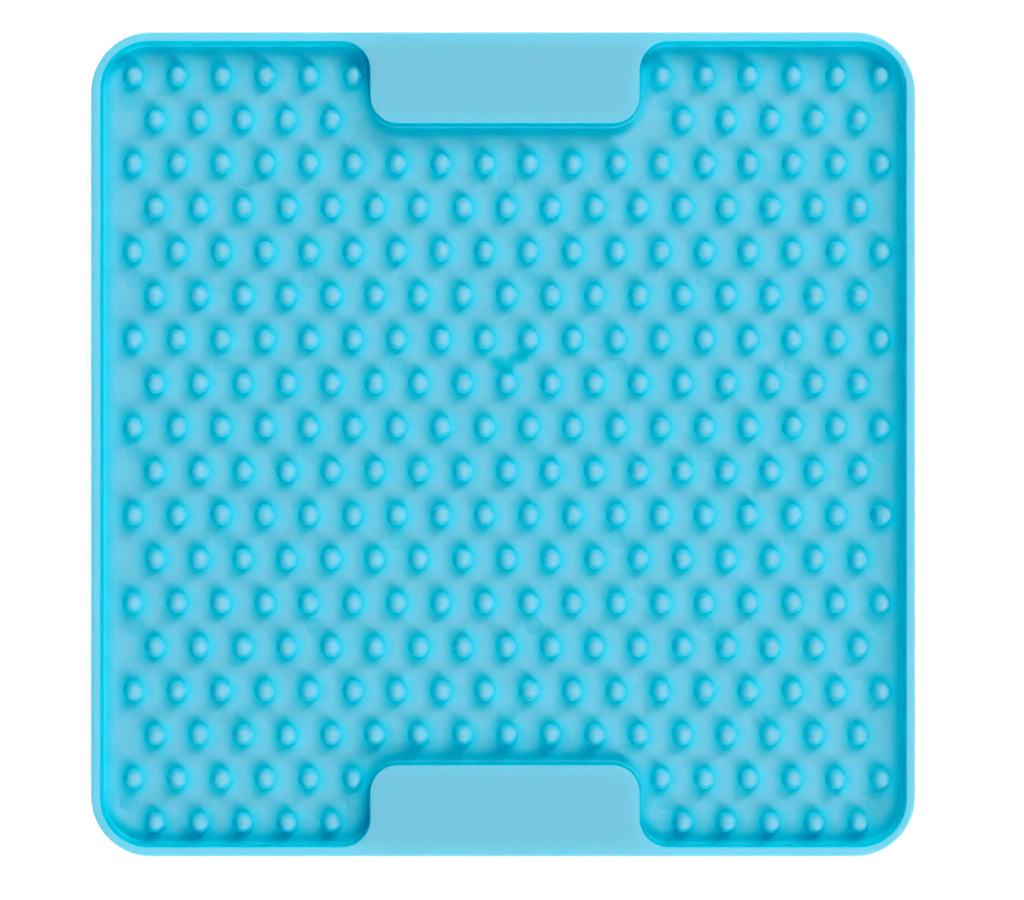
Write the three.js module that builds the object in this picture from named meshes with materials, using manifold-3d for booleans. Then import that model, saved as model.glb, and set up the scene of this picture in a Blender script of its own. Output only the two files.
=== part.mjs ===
// A lick mat: one square moulding in soft rubber, shallow like a tray.
// A narrow rim runs round it. A blank pad, level with the rim, reaches in from the middle of the far side and of the
// near side. Rows of domed nubs stand on the floor in a staggered grid, a little lower than the rim, and soft food is
// spread between them. The underside is flat.
//
// Millimetres, +Z up. The origin is the centre of the underside. Seen from above, +X is right and +Y is away.

import * as THREE from "three";
import { mergeVertices } from "three/addons/utils/BufferGeometryUtils.js";
import Module from "manifold-3d";

const DEG = Math.PI / 180;

// The tray
const SIDE = 200; // length and width over the rim
const HEIGHT = 7.5; // underside to the top of the rim
const FLOOR = 2.5; // thickness of the floor, and so the height that the nubs stand on
const OUTER_CORNER_R = 14.5;
const FOOT_CHAMFER = 0.6; // round the underside
const OUTER_EDGE_R = 0.5; // round the rim's outer edge, on top

// The recess inside the rim
const RIM = 2.3; // width of the rim at the top
const INNER_CORNER_R = 11.5;
const INNER_EDGE = 0.35; // bevel along the top of the recess's wall
const WALL_LEAN = 0.22; // how much further in the wall stands at its foot than at its top
const ROOT = 0.8; // bevel where the wall meets the floor
const ROUND_STEPS = 5; // straight pieces in each corner of an outline

// The blank pads
const PAD_WIDTH = 65.6;
const PAD_DEPTH = 22.2; // from the rim's outer edge to the pad's front
const PAD_CENTRE_X = 0.4;
const PAD_CORNER_R = 6.7; // the pad's own front corners
const PAD_FILLET_R = 6.9; // where the pad's sides run out into the rim

// The nubs
const ROWS = 18;
const LONG_ROW = 18; // nubs in the first row and every second one after it
const PITCH = 10.7; // from nub to nub along a row, and from row to row
const GRID_CENTRE_X = 0.9; // the grid sits a little right of the tray's centre, and nearer
const GRID_CENTRE_Y = -1.2;
const NUB_BASE_R = 2.5;
const NUB_SHOULDER_R = 2;
const NUB_SHOULDER = 2.7; // height of the shoulder above the floor
const NUB_HEIGHT = 4; // height of the dome's top above the floor
const NUB_SIDES = 8;
const NUB_SINK = 0.5; // how far a nub's solid starts below the floor, for a clean join
const NUB_CLEAR = 0.3; // least gap left between a nub and a wall's foot

// The corners of a square outline with rounded corners, in order, turning left.
function squareCorners(half, r) {
  return [0, 90, 180, 270].map((from) => ({
    x: Math.sign(Math.cos((from + 45) * DEG)) * (half - r),
    y: Math.sign(Math.sin((from + 45) * DEG)) * (half - r),
    r,
    from,
    turn: 1,
  }));
}

// The recess's corners round one pad, in order. way is 1 for the far pad and -1 for the near one, which is the same
// shape turned half round.
function padCorners(way) {
  const right = way * PAD_CENTRE_X + PAD_WIDTH / 2;
  const left = way * PAD_CENTRE_X - PAD_WIDTH / 2;
  const rim = SIDE / 2 - RIM;
  const front = SIDE / 2 - PAD_DEPTH;
  return [
    { x: right + PAD_FILLET_R, y: rim - PAD_FILLET_R, r: PAD_FILLET_R, from: 90, turn: 1 },
    { x: right - PAD_CORNER_R, y: front + PAD_CORNER_R, r: PAD_CORNER_R, from: 0, turn: -1 },
    { x: left + PAD_CORNER_R, y: front + PAD_CORNER_R, r: PAD_CORNER_R, from: -90, turn: -1 },
    { x: left - PAD_FILLET_R, y: rim - PAD_FILLET_R, r: PAD_FILLET_R, from: 0, turn: 1 },
  ].map((c) => ({ ...c, x: way * c.x, y: way * c.y, from: way > 0 ? c.from : c.from + 180 }));
}

// The recess's whole outline at the top of its wall: the four corners of the tray, with a pad's corners between the
// first and second, and between the third and fourth.
function recessCorners() {
  const [farRight, farLeft, nearLeft, nearRight] = squareCorners(SIDE / 2 - RIM, INNER_CORNER_R);
  return [farRight, ...padCorners(1), farLeft, nearLeft, ...padCorners(-1), nearRight];
}

// One outline as points, grown outwards by grow. Each corner is a quarter arc, and straight sides join the arcs.
function outline(corners, grow) {
  return corners.flatMap(({ x, y, r, from, turn }) =>
    Array.from({ length: ROUND_STEPS + 1 }, (_, i) => {
      const angle = (from + (turn * 90 * i) / ROUND_STEPS) * DEG;
      const radius = r + turn * grow;
      return new THREE.Vector2(x + radius * Math.cos(angle), y + radius * Math.sin(angle));
    }),
  );
}

// A closed body through one outline at several heights, from the lowest level up.
function stack(corners, levels) {
  const rings = levels.map(({ grow }) => outline(corners, grow));
  const count = rings[0].length;
  const positions = rings.flatMap((ring, i) => ring.flatMap((p) => [p.x, p.y, levels[i].z]));
  const index = [];
  for (let level = 0; level + 1 < levels.length; level++)
    for (let i = 0; i < count; i++) {
      const low = level * count + i;
      const lowNext = level * count + ((i + 1) % count);
      index.push(low, lowNext, lowNext + count, low, lowNext + count, low + count);
    }
  const top = (levels.length - 1) * count;
  for (const [a, b, c] of THREE.ShapeUtils.triangulateShape(rings[0], [])) index.push(a, c, b);
  for (const [a, b, c] of THREE.ShapeUtils.triangulateShape(rings.at(-1), [])) index.push(top + a, top + b, top + c);
  return new THREE.BufferGeometry()
    .setAttribute("position", new THREE.Float32BufferAttribute(positions, 3))
    .setIndex(index);
}

function trayBlank() {
  const rounded = [0, 45, 90].map((angle) => ({
    z: HEIGHT - OUTER_EDGE_R * (1 - Math.sin(angle * DEG)),
    grow: -OUTER_EDGE_R * (1 - Math.cos(angle * DEG)),
  }));
  return stack(squareCorners(SIDE / 2, OUTER_CORNER_R), [
    { z: 0, grow: -FOOT_CHAMFER },
    { z: FOOT_CHAMFER, grow: 0 },
    ...rounded,
  ]);
}

function recess() {
  const above = HEIGHT + 1;
  return stack(recessCorners(), [
    { z: FLOOR, grow: -WALL_LEAN - ROOT },
    { z: FLOOR + ROOT, grow: -WALL_LEAN },
    { z: HEIGHT - INNER_EDGE, grow: 0 },
    { z: HEIGHT, grow: INNER_EDGE },
    { z: above, grow: INNER_EDGE },
  ]);
}

// One nub, turned on its own axis: a tapering stem under a low dome.
function nub() {
  const profile = [
    [0, FLOOR - NUB_SINK],
    [NUB_BASE_R, FLOOR - NUB_SINK],
    [NUB_BASE_R, FLOOR],
    [NUB_SHOULDER_R, FLOOR + NUB_SHOULDER],
    [0, FLOOR + NUB_HEIGHT],
  ].map(([r, z]) => new THREE.Vector2(r, z));
  return new THREE.LatheGeometry(profile, NUB_SIDES).rotateX(90 * DEG);
}

// Where the nubs stand. Odd rows are a nub shorter and set over by half a pitch, and no nub stands in a pad.
function nubPlaces() {
  const reach = WALL_LEAN + ROOT + NUB_BASE_R + NUB_CLEAR;
  const inPad = (x, y) =>
    Math.abs(x - PAD_CENTRE_X) < PAD_WIDTH / 2 + reach && Math.abs(y) > SIDE / 2 - PAD_DEPTH - reach;
  const places = [];
  for (let row = 0; row < ROWS; row++) {
    const count = LONG_ROW - (row % 2);
    const y = GRID_CENTRE_Y + ((ROWS - 1) / 2 - row) * PITCH;
    for (let i = 0; i < count; i++) {
      const x = GRID_CENTRE_X + (i - (count - 1) / 2) * PITCH;
      if (!inPad(x, y)) places.push([x, y]);
    }
  }
  return places;
}

const wasm = await Module();
wasm.setup();

function solidOf(geometry) {
  const bare = geometry.clone();
  bare.deleteAttribute("normal");
  bare.deleteAttribute("uv");
  const merged = mergeVertices(bare, 1e-4);
  return new wasm.Manifold(
    new wasm.Mesh({
      numProp: 3,
      vertProperties: merged.attributes.position.array,
      triVerts: new Uint32Array(merged.index.array),
    }),
  );
}

function geometryOf(solid) {
  const mesh = solid.getMesh();
  const geometry = new THREE.BufferGeometry()
    .setAttribute("position", new THREE.BufferAttribute(mesh.vertProperties, 3))
    .setIndex(new THREE.BufferAttribute(mesh.triVerts, 1));
  geometry.computeVertexNormals();
  return geometry;
}

function matSolid() {
  const oneNub = solidOf(nub());
  return nubPlaces().reduce(
    (mat, [x, y]) => mat.add(oneNub.translate([x, y, 0])),
    solidOf(trayBlank()).subtract(solidOf(recess())),
  );
}

const softRubber = new THREE.MeshStandardMaterial({ color: 0x4fc3de, roughness: 0.5, metalness: 0 });

const mat = new THREE.Mesh(geometryOf(matSolid()), softRubber);
mat.name = "mat";

const lickMat = new THREE.Group();
lickMat.add(mat);

export default lickMat;
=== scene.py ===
"""The looks of a square lick mat in soft moulded rubber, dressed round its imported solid.

The mat is one closed skin, worked out with numpy and joined ring to ring:
  the side, a profile carried round the tray's outline;
  the recess, a profile carried round the outline inside the rim and the two pads;
  the nubs and the ejector marks, profiles turned about upright axes;
  the underside, the rim's top and the floor, flat fills between those rings.
Lengths are in metres, +Z is up and the mat lies on z = 0.
"""

import math

import bpy
import numpy as np
from mathutils import Matrix, Vector, geometry


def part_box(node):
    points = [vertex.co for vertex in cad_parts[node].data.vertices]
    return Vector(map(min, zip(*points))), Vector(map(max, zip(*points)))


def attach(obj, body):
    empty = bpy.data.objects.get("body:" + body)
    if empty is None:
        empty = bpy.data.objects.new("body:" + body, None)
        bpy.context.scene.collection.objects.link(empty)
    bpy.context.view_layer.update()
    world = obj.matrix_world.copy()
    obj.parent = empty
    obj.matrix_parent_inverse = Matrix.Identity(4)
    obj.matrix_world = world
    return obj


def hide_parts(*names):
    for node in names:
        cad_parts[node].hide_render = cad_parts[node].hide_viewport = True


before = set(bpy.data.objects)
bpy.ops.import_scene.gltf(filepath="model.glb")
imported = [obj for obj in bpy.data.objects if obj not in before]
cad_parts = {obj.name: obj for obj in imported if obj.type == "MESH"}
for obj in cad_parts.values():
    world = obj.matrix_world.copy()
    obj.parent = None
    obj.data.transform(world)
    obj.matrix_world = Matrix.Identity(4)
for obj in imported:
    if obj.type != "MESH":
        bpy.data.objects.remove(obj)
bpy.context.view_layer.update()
low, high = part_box("mat")
MM = 0.001

# The tray. Its outlines are the solid's. The wall leans a little less, and its root is a little rounder
HALF = (high.x - low.x) / 2
TOP = high.z
FLOOR = 2.5 * MM
OUTER_CORNER = 14.5 * MM
RIM = 2.3 * MM
INNER_CORNER = 11.5 * MM
FOOT_ROUND = 0.6 * MM
OUTER_ROUND = 0.5 * MM
INNER_ROUND = 0.35 * MM
WALL_LEAN = 0.08 * MM
ROOT_ROUND = 0.9 * MM

# The blank pads
PAD_WIDTH = 65.6 * MM
PAD_DEPTH = 22.2 * MM
PAD_CENTRE_X = 0.4 * MM
PAD_CORNER = 6.7 * MM
PAD_FILLET = 6.9 * MM

# The nubs, and the middle of their grid
ROWS = 18
LONG_ROW = 18
PITCH = 10.7 * MM
GRID_X = 0.9 * MM
GRID_Y = -1.2 * MM
PAD_CLEARANCE = 3.83 * MM
NUB_STEPS = 12

# How far the nubs stray at random: in place, in lean and in height, as standard deviations
PLACE_SPREAD = 0.03 * MM
LEAN_SPREAD = 0.015
HEIGHT_SPREAD = 0.012

# The few nubs that stand bent: row from the far side, place along it, and the lean to the right and away,
# each as a share of the height
BENT_NUBS = (
    (8, 15, 0.01, 0.16),
    (10, 17, 0.17, 0.01),
    (9, 16, 0.06, 0.06),
    (3, 14, 0.05, -0.05),
    (10, 14, -0.05, 0.05),
    (11, 15, 0.06, 0.03),
    (13, 11, -0.06, -0.03),
    (14, 9, 0.05, 0.06),
)

# The marks of the ejector pins on the floor
PIN_RADIUS = 2.3 * MM
PIN_DEPTH = 0.07 * MM
PIN_STEPS = 24

# A darker patch on the floor a little beyond the middle: each oval's centre, half length, half width and turn
PATCH_OVALS = (
    (-1.3 * MM, 19.9 * MM, 2.9 * MM, 1.7 * MM, -6),
    (3.2 * MM, 20.8 * MM, 4.2 * MM, 1.7 * MM, 25),
    (1.6 * MM, 18.4 * MM, 1.6 * MM, 0.8 * MM, 55),
)

# How finely the outlines are divided
ARC_STEPS = 14
SIDE_STEP = 5 * MM

DRAW = np.random.default_rng(7)


def corner_rows(half, radius):
    """Corners of a rounded square, one row each: centre x, centre y, radius, first angle, turn."""
    inset = half - radius
    return [
        (inset, inset, radius, 0, 1),
        (-inset, inset, radius, 90, 1),
        (-inset, -inset, radius, 180, 1),
        (inset, -inset, radius, 270, 1),
    ]


def pad_rows(way):
    """The four corners of the recess round a pad. way is 1 for the far pad and -1 for the near one."""
    right = way * PAD_CENTRE_X + PAD_WIDTH / 2
    left = way * PAD_CENTRE_X - PAD_WIDTH / 2
    rim = HALF - RIM
    front = HALF - PAD_DEPTH
    turned = 0 if way > 0 else 180
    rows = [
        (right + PAD_FILLET, rim - PAD_FILLET, PAD_FILLET, 90, 1),
        (right - PAD_CORNER, front + PAD_CORNER, PAD_CORNER, 0, -1),
        (left + PAD_CORNER, front + PAD_CORNER, PAD_CORNER, -90, -1),
        (left - PAD_FILLET, rim - PAD_FILLET, PAD_FILLET, 0, 1),
    ]
    return [(way * x, way * y, r, start + turned, turn) for x, y, r, start, turn in rows]


def recess_rows():
    """The corners of the recess at the top of its wall, in order, turning left."""
    far_right, far_left, near_left, near_right = corner_rows(HALF - RIM, INNER_CORNER)
    return [far_right, *pad_rows(1), far_left, near_left, *pad_rows(-1), near_right]


def outline(rows):
    """A closed outline as base points and outward normals.

    A corner's point is its centre + radius * (cos a, sin a), a going a quarter turn from the first angle.
    Its normal is turn * (cos a, sin a). The straight sides between corners are divided evenly and keep the
    normal of the corner before them. Moving a point along its normal gives the outline grown or shrunk.
    """
    x, y, radius, start, turn = np.array(rows, float).T
    share = np.linspace(0, 1, ARC_STEPS + 1)
    angle = np.radians(start[:, None] + 90 * turn[:, None] * share)
    ray = np.stack([np.cos(angle), np.sin(angle)], axis=-1)
    arcs = np.stack([x, y], axis=-1)[:, None, :] + radius[:, None, None] * ray
    normals = turn[:, None, None] * ray
    points, facing = [], []
    for i in range(len(rows)):
        first, last = arcs[i, -1], arcs[(i + 1) % len(rows), 0]
        parts = max(1, round(np.linalg.norm(last - first) / SIDE_STEP))
        along = np.arange(1, parts)[:, None] / parts
        points += [arcs[i], first * (1 - along) + last * along]
        facing += [normals[i], np.repeat(normals[i, -1:], parts - 1, axis=0)]
    return np.concatenate(points), np.concatenate(facing)


def quarter(centre, radius, start, end, steps):
    """Points on an arc of a profile: centre + radius * (cos a, sin a), a going evenly from start to end."""
    angle = np.radians(np.linspace(start, end, steps + 1))
    return [(centre[0] + radius * c, centre[1] + radius * s) for c, s in zip(np.cos(angle), np.sin(angle))]


def profile_normals(profile):
    """A profile's normals: its direction turned a quarter turn to the right, and upright at its two ends."""
    way = np.gradient(profile, axis=0)
    normals = np.stack([way[:, 1], -way[:, 0]], axis=-1)
    normals /= np.linalg.norm(normals, axis=1, keepdims=True)
    for end in (0, -1):
        normals[end] = (0, np.sign(normals[end, 1]))
    return normals


class Skin:
    """The vertices, normals and faces of one mesh while it is put together."""

    def __init__(self):
        self.points, self.normals, self.faces, self.darks = [], [], [], []
        self.count = 0

    def add(self, points, normals, dark=0):
        """Adds a grid of points and returns the grid of their numbers. Dark is how far they are darkened:
        painted shade on the recess wall, the pin marks' own tone.
        """
        shape = points.shape[:-1]
        numbers = self.count + np.arange(int(np.prod(shape))).reshape(shape)
        self.points.append(points.reshape(-1, 3))
        self.normals.append(normals.reshape(-1, 3))
        self.darks.append(np.broadcast_to(dark, shape).ravel())
        self.count += numbers.size
        return numbers

    def band(self, numbers):
        """Faces between the rings of a grid whose last two axes are the level and the place on the ring."""
        here, there = numbers[..., :-1, :], numbers[..., 1:, :]
        around = [here, np.roll(here, -1, axis=-1), np.roll(there, -1, axis=-1), there]
        self.faces += np.stack(around, axis=-1).reshape(-1, 4).tolist()

    def fan(self, ring, tips):
        """Triangles from each ring to its own tip."""
        tips = np.broadcast_to(tips[..., None], ring.shape)
        self.faces += np.stack([ring, np.roll(ring, -1, axis=-1), tips], axis=-1).reshape(-1, 3).tolist()

    def fill(self, rings, facing_down=False):
        """Triangles over the flat area that lies within an odd number of the rings: a disc less its holes."""
        numbers = np.concatenate(rings)
        flat = np.concatenate(self.points)[numbers][:, :2]
        first = np.cumsum([0] + [len(r) for r in rings[:-1]])
        ends = np.concatenate([f + (np.arange(len(r)) + 1) % len(r) for f, r in zip(first, rings)])
        sides = np.stack([np.arange(len(numbers)), ends], axis=-1)
        made = geometry.delaunay_2d_cdt([Vector(p) for p in flat / MM], sides.tolist(), [], 0, 1e-6, True)
        whose = np.array([source[0] for source in made[3]])
        triangles = whose[np.array(made[2])]
        triangles = triangles[self.within(flat[triangles].mean(axis=1), flat, sides)]
        if facing_down:
            triangles = triangles[:, ::-1]
        self.faces += numbers[triangles].tolist()

    @staticmethod
    def within(points, flat, sides):
        """True for each point from which a ray along +X crosses an odd number of sides."""
        a, b = flat[sides[:, 0]], flat[sides[:, 1]]
        inside = np.zeros(len(points), bool)
        for chunk in np.array_split(np.arange(len(points)), 1 + len(points) // 2000):
            x, y = points[chunk, 0, None], points[chunk, 1, None]
            spans = (a[:, 1] > y) != (b[:, 1] > y)
            share = (y - a[:, 1]) / np.where(b[:, 1] == a[:, 1], 1, b[:, 1] - a[:, 1])
            inside[chunk] = (spans & (x < a[:, 0] + share * (b[:, 0] - a[:, 0]))).sum(axis=1) % 2 == 1
        return inside

    def mesh(self, name):
        """The finished mesh, smooth, with the normals worked out from the profiles."""
        made = bpy.data.meshes.new(name)
        made.from_pydata(np.concatenate(self.points).tolist(), [], self.faces)
        # The dark attribute holds painted shade on the recess wall and the pin marks' own tone
        dark = made.attributes.new("dark", "FLOAT", "POINT")
        dark.data.foreach_set("value", np.concatenate(self.darks).astype("f"))
        made.shade_smooth()
        made.normals_split_custom_set_from_vertices(np.concatenate(self.normals).tolist())
        made.update()
        return made


def carried(skin, rows, profile, dark=0):
    """A profile of (growth, height) pairs carried round an outline.

    Each point is the outline's, moved out along its normal by the growth and set at the height. Its normal
    is the profile's, turned to face the same way out.
    """
    base, outward = outline(rows)
    profile = np.array(profile, float)
    slope = profile_normals(profile)
    points = np.empty((len(profile), len(base), 3))
    points[..., :2] = base + profile[:, None, :1] * outward
    points[..., 2] = profile[:, 1:]
    normals = np.empty_like(points)
    normals[..., :2] = slope[:, None, :1] * outward
    normals[..., 2] = slope[:, 1:]
    numbers = skin.add(points, normals, dark)
    skin.band(numbers)
    return numbers


def turned(skin, places, profile, steps, lean=None, stretch=None, dark=None):
    """A profile of (radius, height above the floor) pairs turned about an upright axis at each place.

    A point is the place + lean * height + radius * (cos a, sin a), and its height is stretched by the copy's
    own factor. A tip on the axis at the last height closes each copy. Dark is one number for each pair.
    """
    profile = np.array(profile, float)
    lean = np.zeros((len(places), 2)) if lean is None else lean
    stretch = np.ones(len(places)) if stretch is None else stretch
    dark = np.zeros(len(profile)) if dark is None else np.array(dark, float)
    angle = np.linspace(0, 2 * np.pi, steps, endpoint=False) + np.pi / steps
    ray = np.stack([np.cos(angle), np.sin(angle)], axis=-1)
    slope = profile_normals(profile)[:-1]
    rise = profile[:, 1] * stretch[:, None]
    centres = places[:, None, :] + lean[:, None, :] * rise[..., None]
    points = np.empty((len(places), len(profile) - 1, steps, 3))
    points[..., :2] = centres[:, :-1, None, :] + profile[:-1, 0, None, None] * ray
    points[..., 2] = FLOOR + rise[:, :-1, None]
    normals = np.empty_like(points)
    normals[..., :2] = slope[:, None, :1] * ray
    normals[..., 2] = slope[:, 1:]
    numbers = skin.add(points, normals, dark[:-1, None])
    tips = np.concatenate([centres[:, -1], FLOOR + rise[:, -1:]], axis=-1)
    tip_numbers = skin.add(tips, np.tile([0.0, 0, 1], (len(places), 1)), dark[-1])
    skin.band(numbers)
    skin.fan(numbers[:, -1], tip_numbers)
    return numbers[:, 0]


def nub_places():
    """Where the nubs stand, and none in a pad. Odd rows are a nub shorter and set over by half a pitch."""
    places = []
    for row in range(ROWS):
        count = LONG_ROW - row % 2
        x = GRID_X + (np.arange(count) - (count - 1) / 2) * PITCH
        y = np.full(count, GRID_Y + ((ROWS - 1) / 2 - row) * PITCH)
        beside = abs(x - PAD_CENTRE_X) < PAD_WIDTH / 2 + PAD_CLEARANCE
        in_pad = beside & (abs(y) > HALF - PAD_DEPTH - PAD_CLEARANCE)
        places.append(np.stack([x, y], axis=-1)[~in_pad])
    return np.concatenate(places)


def pin_places():
    """Where the ejector pins left their marks, in staggered rows of three to five.

    The places are in nub pitches from the first nub: the row's place down the mat, then those along it.
    """
    rows = [
        (0.62, (-0.12, 5.02, 12.1, 16.95)),
        (2.35, (2.54, 8.49, 14.48)),
        (4.64, (0, 4, 9, 13, 17)),
        (6.6, (2, 6, 11, 15)),
        (8.62, (0, 4, 9, 13, 17)),
        (10.58, (2, 6, 11, 15)),
        (12.52, (0, 4.1, 9.1, 13, 17)),
        (14.5, (2.5, 8.5, 14.5)),
        (16.56, (-0.14, 5.02, 12.08, 16.9)),
    ]
    first_x = GRID_X - (LONG_ROW - 1) / 2 * PITCH
    first_y = GRID_Y + (ROWS - 1) / 2 * PITCH
    return np.array([(first_x + x * PITCH, first_y - down * PITCH) for down, along in rows for x in along])


def side_profile():
    """From the underside's edge, round the foot, up the side and round the top edge to the rim."""
    foot = quarter((-FOOT_ROUND, FOOT_ROUND), FOOT_ROUND, -90, 0, 4)
    top = quarter((-OUTER_ROUND, TOP - OUTER_ROUND), OUTER_ROUND, 0, 90, 5)
    return foot + top


def recess_profile():
    """From the rim's top, round the inner edge, down the leaning wall and round its root to the floor."""
    edge = quarter((INNER_ROUND, TOP - INNER_ROUND), INNER_ROUND, 90, 180, 5)
    root = quarter((-WALL_LEAN - ROOT_ROUND, FLOOR + ROOT_ROUND), ROOT_ROUND, 0, -90, 6)
    return edge + root


def recess_painted_shade():
    """Painted shade on the recess profile: how far each level is darkened, most on the wall where shade
    falls, not at the rim or the floor.
    """
    return np.array([0, 0, 0.1, 0.25, 0.4, 0.45, 0.45, 0.4, 0.25, 0.1, 0, 0, 0])[:, None]


def nub_profile():
    """From the floor, round the root, up the tapering stem and over the dome, as (radius, height) pairs."""
    pairs = [
        (2.7, 0),
        (2.56, 0.45),
        (2.22, 2.1),
        (1.76, 3.2),
        (1.1, 3.8),
        (0, 4.0),
    ]
    return [(r * MM, z * MM) for r, z in pairs]


def pin_profile():
    """From the floor down a fine step to a disc that lies a hair below it, as (radius, height) pairs."""
    insets = (0, 0.08, 0.2, 0.3)
    radii = [PIN_RADIUS - inset * MM for inset in insets] + [0]
    drops = (0, 0.5, 1, 0.8, 0.7)
    return [(r, -PIN_DEPTH * drop) for r, drop in zip(radii, drops)]


def mat_piece(material):
    """The whole mat as one closed skin."""
    skin = Skin()
    side = carried(skin, corner_rows(HALF, OUTER_CORNER), side_profile())
    # The recess wall is darkened by painted shade
    recess = carried(skin, recess_rows(), recess_profile(), recess_painted_shade())
    places = nub_places()
    places = places + DRAW.normal(0, PLACE_SPREAD, places.shape)
    lean = DRAW.normal(0, LEAN_SPREAD, places.shape)
    stretch = DRAW.normal(1, HEIGHT_SPREAD, len(places))
    for row, along, right, back in BENT_NUBS:
        x = GRID_X + (along - (LONG_ROW - 1) / 2 + 0.5 * (row % 2)) * PITCH
        spot = np.array([x, GRID_Y + ((ROWS - 1) / 2 - row) * PITCH])
        lean[np.argmin(np.linalg.norm(places - spot, axis=1))] = (right, back)
    nubs = turned(skin, places, nub_profile(), NUB_STEPS, lean, stretch)
    pins = turned(skin, pin_places(), pin_profile(), PIN_STEPS, dark=(0, 0.05, 0.08, 0.08, 0.08))
    skin.fill([side[0]], facing_down=True)
    skin.fill([side[-1], recess[0]])
    skin.fill([recess[-1], *nubs, *pins])
    piece = bpy.data.objects.new("moulded_mat", skin.mesh("moulded_mat"))
    bpy.context.scene.collection.objects.link(piece)
    piece.data.materials.append(material)
    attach(piece, "root")
    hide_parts("mat")


def new_material(name):
    """An empty node material, with its tree and its output."""
    made = bpy.data.materials.new(name)
    made.use_nodes = True
    made.node_tree.nodes.clear()
    return made, made.node_tree, made.node_tree.nodes.new("ShaderNodeOutputMaterial")


def combined(tree, operation, first, second, third=0):
    """A math node's result. Each of the three may be a number or a socket."""
    made = tree.nodes.new("ShaderNodeMath")
    made.operation = operation
    for socket, given in zip(made.inputs, (first, second, third)):
        if isinstance(given, bpy.types.NodeSocket):
            tree.links.new(given, socket)
        else:
            socket.default_value = given
    return made.outputs[0]


def floor_patch(tree):
    """A darker patch on the floor: the most of three ovals whose rims a noise bends.

    The distance from an oval's centre, as a share of its half length and half width, plus a noise from 0 to
    1, is faded smoothly from 1 at whole to 0 at gone.
    """
    whole = 0.75
    gone = 1.9
    noise_scale = 420
    where = tree.nodes.new("ShaderNodeTexCoord")
    noise = tree.nodes.new("ShaderNodeTexNoise")
    noise.inputs["Scale"].default_value = noise_scale
    noise.inputs["Detail"].default_value = 1
    tree.links.new(where.outputs["Object"], noise.inputs["Vector"])
    most = None
    for x, y, half_length, half_width, turn in PATCH_OVALS:
        oval = tree.nodes.new("ShaderNodeMapping")
        oval.vector_type = "TEXTURE"
        oval.inputs["Location"].default_value = (x, y, FLOOR)
        oval.inputs["Rotation"].default_value = (0, 0, math.radians(turn))
        oval.inputs["Scale"].default_value = (half_length, half_width, 1)
        length = tree.nodes.new("ShaderNodeVectorMath")
        length.operation = "LENGTH"
        tree.links.new(where.outputs["Object"], oval.inputs["Vector"])
        tree.links.new(oval.outputs["Vector"], length.inputs[0])
        bent = combined(tree, "ADD", length.outputs["Value"], noise.outputs["Fac"])
        fade = tree.nodes.new("ShaderNodeMapRange")
        fade.interpolation_type = "SMOOTHSTEP"
        fade.inputs["From Min"].default_value = gone
        fade.inputs["From Max"].default_value = whole
        tree.links.new(bent, fade.inputs["Value"])
        oval_weight = fade.outputs["Result"]
        most = oval_weight if most is None else combined(tree, "MAXIMUM", most, oval_weight)
    return most


def soft_rubber():
    """Cyan thermoplastic rubber, satin and translucent.

    Its colour carries painted shade: it is pale where the place lies open and deeper cyan in the hollows
    round the nubs and along the wall, where shade falls. It is darkened a little in the pin marks, their own
    tone, and over a patch of three ovals on the floor. The shade is how open the place is * (1 - dark) * (1 -
    the patch's depth * its ovals' weight), and a ramp from painted shade to open turns it into the colour.
    """
    # Painted shade: occlusion within this reach darkens the colour, down to the shade colour at the given
    # openness
    painted_shade_reach = 3.5 * MM
    painted_shade_full_below = 0.2
    painted_shade_colour = (0.0, 0.475, 0.615, 1)
    open_colour = (0.25, 0.565, 0.73, 1)
    patch_depth = 0.42
    scatter = 5 * MM
    made, tree, output = new_material("soft_rubber")
    shader = tree.nodes.new("ShaderNodeBsdfPrincipled")
    tree.links.new(shader.outputs["BSDF"], output.inputs["Surface"])
    shader.subsurface_method = "BURLEY"
    # Painted shade from ambient occlusion: the hollows round the nubs and along the wall come out deeper cyan
    painted_shade_ao = tree.nodes.new("ShaderNodeAmbientOcclusion")
    painted_shade_ao.samples = 4
    painted_shade_ao.only_local = True
    painted_shade_ao.inputs["Distance"].default_value = painted_shade_reach
    ramp = tree.nodes.new("ShaderNodeValToRGB")
    ramp.color_ramp.elements[0].position = painted_shade_full_below
    ramp.color_ramp.elements[0].color = painted_shade_colour
    ramp.color_ramp.elements[1].position = 1
    ramp.color_ramp.elements[1].color = open_colour
    # Painted shade on the recess wall and the pin marks' own tone, read from the mesh's dark attribute
    darkened = tree.nodes.new("ShaderNodeAttribute")
    darkened.attribute_name = "dark"
    tone = combined(tree, "SUBTRACT", 1, darkened.outputs["Fac"])
    patch_factor = combined(tree, "MULTIPLY_ADD", floor_patch(tree), -patch_depth, 1)
    toned = combined(tree, "MULTIPLY", painted_shade_ao.outputs["AO"], tone)
    shade = combined(tree, "MULTIPLY", toned, patch_factor)
    tree.links.new(shade, ramp.inputs["Fac"])
    tree.links.new(ramp.outputs["Color"], shader.inputs["Base Color"])
    shader.inputs["Roughness"].default_value = 0.5
    shader.inputs["Subsurface Weight"].default_value = 1
    shader.inputs["Subsurface Radius"].default_value = (0.05, 1, 1)
    shader.inputs["Subsurface Scale"].default_value = scatter
    return made


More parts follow.
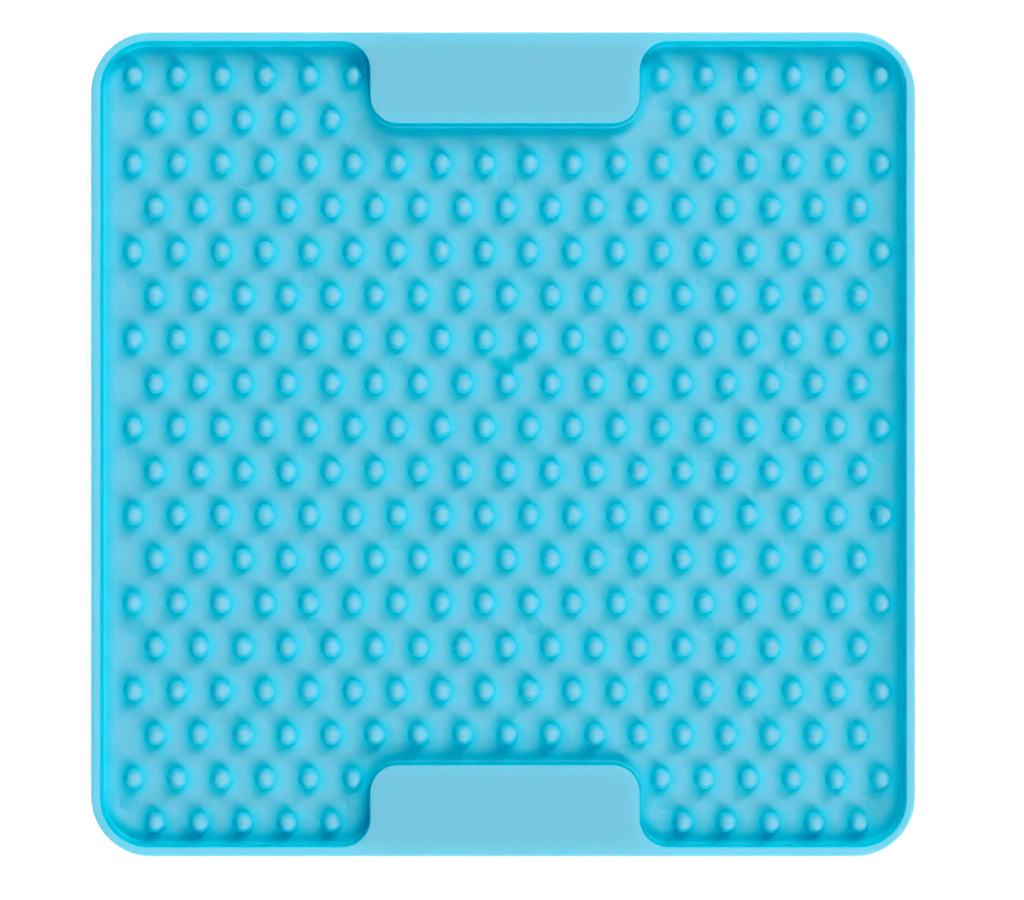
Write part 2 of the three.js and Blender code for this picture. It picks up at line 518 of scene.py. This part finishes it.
def white_floor():
    """The plain pale surface a hair below the mat. It glows a little, and through the thin mat too."""
    glow = 0.12
    half = 3
    drop = 0.02 * MM
    made, tree, output = new_material("pale_floor")
    shader = tree.nodes.new("ShaderNodeBsdfPrincipled")
    tree.links.new(shader.outputs["BSDF"], output.inputs["Surface"])
    shader.inputs["Base Color"].default_value = (0.84, 0.84, 0.84, 1)
    shader.inputs["Roughness"].default_value = 0.8
    shader.inputs["Emission Color"].default_value = (1, 1, 1, 1)
    shader.inputs["Emission Strength"].default_value = glow
    mesh = bpy.data.meshes.new("floor")
    square = [(-half, -half, 0), (half, -half, 0), (half, half, 0), (-half, half, 0)]
    mesh.from_pydata(square, [], [(0, 1, 2, 3)])
    floor = bpy.data.objects.new("floor", mesh)
    floor.location.z = -drop
    mesh.materials.append(made)
    bpy.context.scene.collection.objects.link(floor)
    whiten(floor)


def whiten(floor):
    """A wide soft box overhead that lights the floor alone, as a backdrop is lit on its own."""
    data = bpy.data.lights.new("backdrop", "AREA")
    data.size = 3
    data.energy = 60
    light = bpy.data.objects.new("backdrop", data)
    light.location.z = 2.5
    bpy.context.scene.collection.objects.link(light)
    lit = bpy.data.collections.new("backdrop_only")
    lit.objects.link(floor)
    light.light_linking.receiver_collection = lit


def add_camera():
    """Straight above, with a long lens, and the mat a little left of the image's middle and above it.

    The distance is lens / sensor * image width * the mat's width / its width on the image, in pixels.
    """
    lens = 150
    sensor = 36
    mat_on_image = 824.4
    image_width = 1024
    right_of_mat = 2.12 * MM
    near_of_mat = 1.4 * MM
    data = bpy.data.cameras.new("camera")
    data.lens = lens
    data.sensor_width = sensor
    distance = lens / sensor * image_width * 2 * HALF / mat_on_image
    camera = bpy.data.objects.new("camera", data)
    camera.location = (right_of_mat, -near_of_mat, TOP + distance)
    bpy.context.scene.collection.objects.link(camera)
    bpy.context.scene.camera = camera


def toward(azimuth, elevation):
    """The direction at an azimuth and elevation in degrees. Azimuth 0 is to the right and 90 is away."""
    a, e = math.radians(azimuth), math.radians(elevation)
    return Vector((math.cos(a) * math.cos(e), math.sin(a) * math.cos(e), math.sin(e)))


def softbox(name, low_end, high_end, power):
    """A long soft box that reaches from one direction to another, three metres away and facing the mat."""
    away = 3
    width = 0.8
    low_way, high_way = toward(*low_end), toward(*high_end)
    facing = (low_way + high_way).normalized()
    along = (high_way - low_way).normalized()
    data = bpy.data.lights.new(name, "AREA")
    data.shape = "RECTANGLE"
    data.size = width
    data.size_y = 2 * away * math.tan(low_way.angle(high_way) / 2)
    data.energy = power
    light = bpy.data.objects.new(name, data)
    light.location = away * facing
    light.rotation_euler = Matrix((along.cross(facing), along, facing)).transposed().to_euler()
    bpy.context.scene.collection.objects.link(light)


def add_lights():
    """Two long soft boxes, one the other's mirror image, and a pale room.

    Each box starts low on the right and rises as it turns, one to the far side and one to the near side. The
    room is bright round the horizon and dim overhead. Its height is the sine of the elevation.
    """
    power = 72
    room_strength = 0.74
    bright_below = 0.28
    dim_above = 0.5
    softbox("far", (46, 14), (112, 63), power)
    softbox("near", (-46, 14), (-112, 63), power)
    world = bpy.data.worlds.new("surround")
    world.use_nodes = True
    tree = world.node_tree
    place = tree.nodes.new("ShaderNodeTexCoord")
    height = tree.nodes.new("ShaderNodeSeparateXYZ")
    ramp = tree.nodes.new("ShaderNodeValToRGB")
    ramp.color_ramp.elements[0].position = bright_below
    ramp.color_ramp.elements[0].color = (1, 1, 1, 1)
    ramp.color_ramp.elements[1].position = dim_above
    ramp.color_ramp.elements[1].color = (0.06, 0.06, 0.06, 1)
    tree.links.new(place.outputs["Generated"], height.inputs["Vector"])
    tree.links.new(height.outputs["Z"], ramp.inputs["Fac"])
    tree.links.new(ramp.outputs["Color"], tree.nodes["Background"].inputs["Color"])
    tree.nodes["Background"].inputs["Strength"].default_value = room_strength
    bpy.context.scene.world = world


def photographic_contrast():
    """A toe on the tone curve, the same for all three colours: darks go down, and the middle hardly moves."""
    darkened = ((0.1, 0.0), (0.15, 0.012), (0.28, 0.19), (0.45, 0.42), (0.7, 0.69))
    view = bpy.context.scene.view_settings
    view.view_transform = "Standard"
    view.use_curve_mapping = True
    tone = view.curve_mapping.curves[3]
    for level, becomes in darkened:
        tone.points.new(level, becomes)
    view.curve_mapping.update()


photographic_contrast()
add_camera()
mat_piece(soft_rubber())
white_floor()
add_lights()
